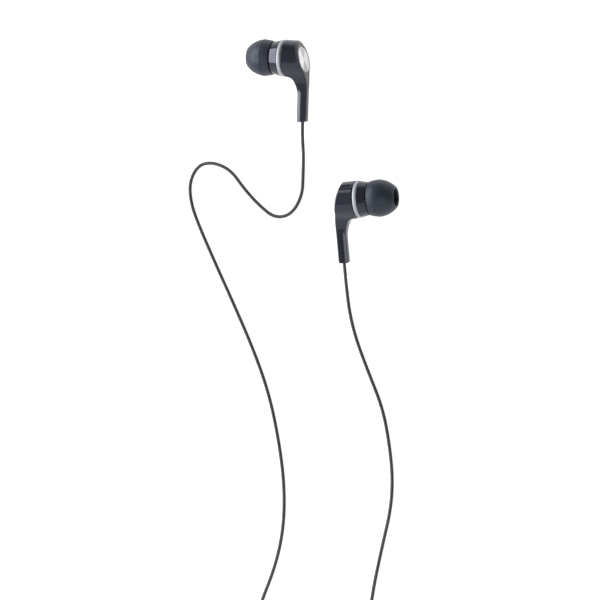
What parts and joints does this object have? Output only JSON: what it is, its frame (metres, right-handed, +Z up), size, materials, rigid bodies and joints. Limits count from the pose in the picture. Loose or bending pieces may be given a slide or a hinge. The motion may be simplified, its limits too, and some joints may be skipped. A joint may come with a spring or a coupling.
{
  "type": "wired in-ear earphones",
  "caption": "Wired in-ear earphones: angled black buds with soft tips, silver trim rings and back badges, thin cords joined at a splitter, wound lead and stereo plug.",
  "frame": {"origin": "middle of the two earbuds' footprint, on the surface they lie on", "axes": "+Z up from the surface; the right bud's nozzle points along +X (1.7 degrees towards +Y), the left bud's along -X (4.3 degrees towards +Y); both stems point along -Y"},
  "size_m": [0.0772, 0.318, 0.0122],
  "materials": {
    "gloss_black": "polished injection-moulded black plastic",
    "back_plate": "satin dark grey-brown plastic",
    "silicone": "soft matte blue-black silicone",
    "trim_metal": "bright plated ring",
    "badge_metal": "spun, radially brushed disc",
    "mesh_steel": "perforated stainless sheet",
    "speaker_plastic": "moulded plastic",
    "speaker_steel": "plated sheet steel",
    "film": "thin clear-amber polyester film",
    "copper": "enamelled copper wire",
    "magnet": "nickel-plated neodymium",
    "board": "glass-fibre board with green solder mask",
    "paper": "thin damping paper",
    "foam": "closed-cell foam gasket",
    "cord_jacket": "satin dark grey elastomer jacket",
    "moulded_black": "satin black elastomer moulding",
    "solder": "tin solder",
    "tie": "soft black hook-and-loop style strap",
    "gold": "thin gold plating over brass",
    "insulator": "black insulating plastic"
  },
  "bodies": {
    "earphones": {"back_cover_left": "back_plate", "back_cover_right": "back_plate", "badge_left": "badge_metal", "badge_right": "badge_metal", "cable_tie": "tie", "cord_coil": "cord_jacket", "cord_left_branch": "cord_jacket", "cord_main_lead": "cord_jacket", "cord_main_tail": "cord_jacket", "cord_right_branch": "cord_jacket", "damping_paper_left": "paper", "damping_paper_right": "paper", "front_housing_left": "gloss_black", "front_housing_right": "gloss_black", "inner_cable_left": "cord_jacket", "inner_cable_right": "cord_jacket", "magnet_left": "magnet", "magnet_right": "magnet", "nozzle_mesh_left": "mesh_steel", "nozzle_mesh_right": "mesh_steel", "plug_core": "speaker_plastic", "plug_grip": "moulded_black", "plug_insulator_front": "insulator", "plug_insulator_rear": "insulator", "plug_lead_end": "cord_jacket", "plug_relief": "moulded_black", "plug_ring": "gold", "plug_sleeve": "gold", "plug_tip": "gold", "pole_plate_left": "speaker_steel", "pole_plate_right": "speaker_steel", "rear_housing_left": "gloss_black", "rear_housing_right": "gloss_black", "sealing_gasket_left": "foam", "sealing_gasket_right": "foam", "solder_joints": "solder", "speaker_cap_left": "speaker_steel", "speaker_cap_right": "speaker_steel", "speaker_frame_left": "speaker_plastic", "speaker_frame_right": "speaker_plastic", "speaker_wires_left": "copper", "speaker_wires_right": "copper", "splitter": "moulded_black", "splitter_relief": "moulded_black", "terminal_board_left": "board", "terminal_board_right": "board", "trim_ring_left": "trim_metal", "trim_ring_right": "trim_metal", "yoke_left": "speaker_steel", "yoke_right": "speaker_steel"},
    "ear_tip_left": {"ear_tip_left": "silicone"},
    "ear_tip_right": {"ear_tip_right": "silicone"},
    "speaker_cone_left": {"diaphragm_left": "film", "voice_coil_left": "copper"},
    "speaker_cone_right": {"diaphragm_right": "film", "voice_coil_right": "copper"}
  },
  "joints": [
    {"name": "ear_tip_left_pull", "type": "slide", "parent": "earphones", "child": "ear_tip_left", "axis": [-0.9972, 0.075, 0], "range_m": [0, 0.008]},
    {"name": "speaker_cone_left_stroke", "type": "slide", "parent": "earphones", "child": "speaker_cone_left", "axis": [-0.9972, 0.075, 0], "range_m": [-0.00015, 0.00015], "stiffness_N_per_m": 15},
    {"name": "ear_tip_right_pull", "type": "slide", "parent": "earphones", "child": "ear_tip_right", "axis": [0.9996, 0.0297, 0], "range_m": [0, 0.008]},
    {"name": "speaker_cone_right_stroke", "type": "slide", "parent": "earphones", "child": "speaker_cone_right", "axis": [0.9996, 0.0297, 0], "range_m": [-0.00015, 0.00015], "stiffness_N_per_m": 15}
  ]
}
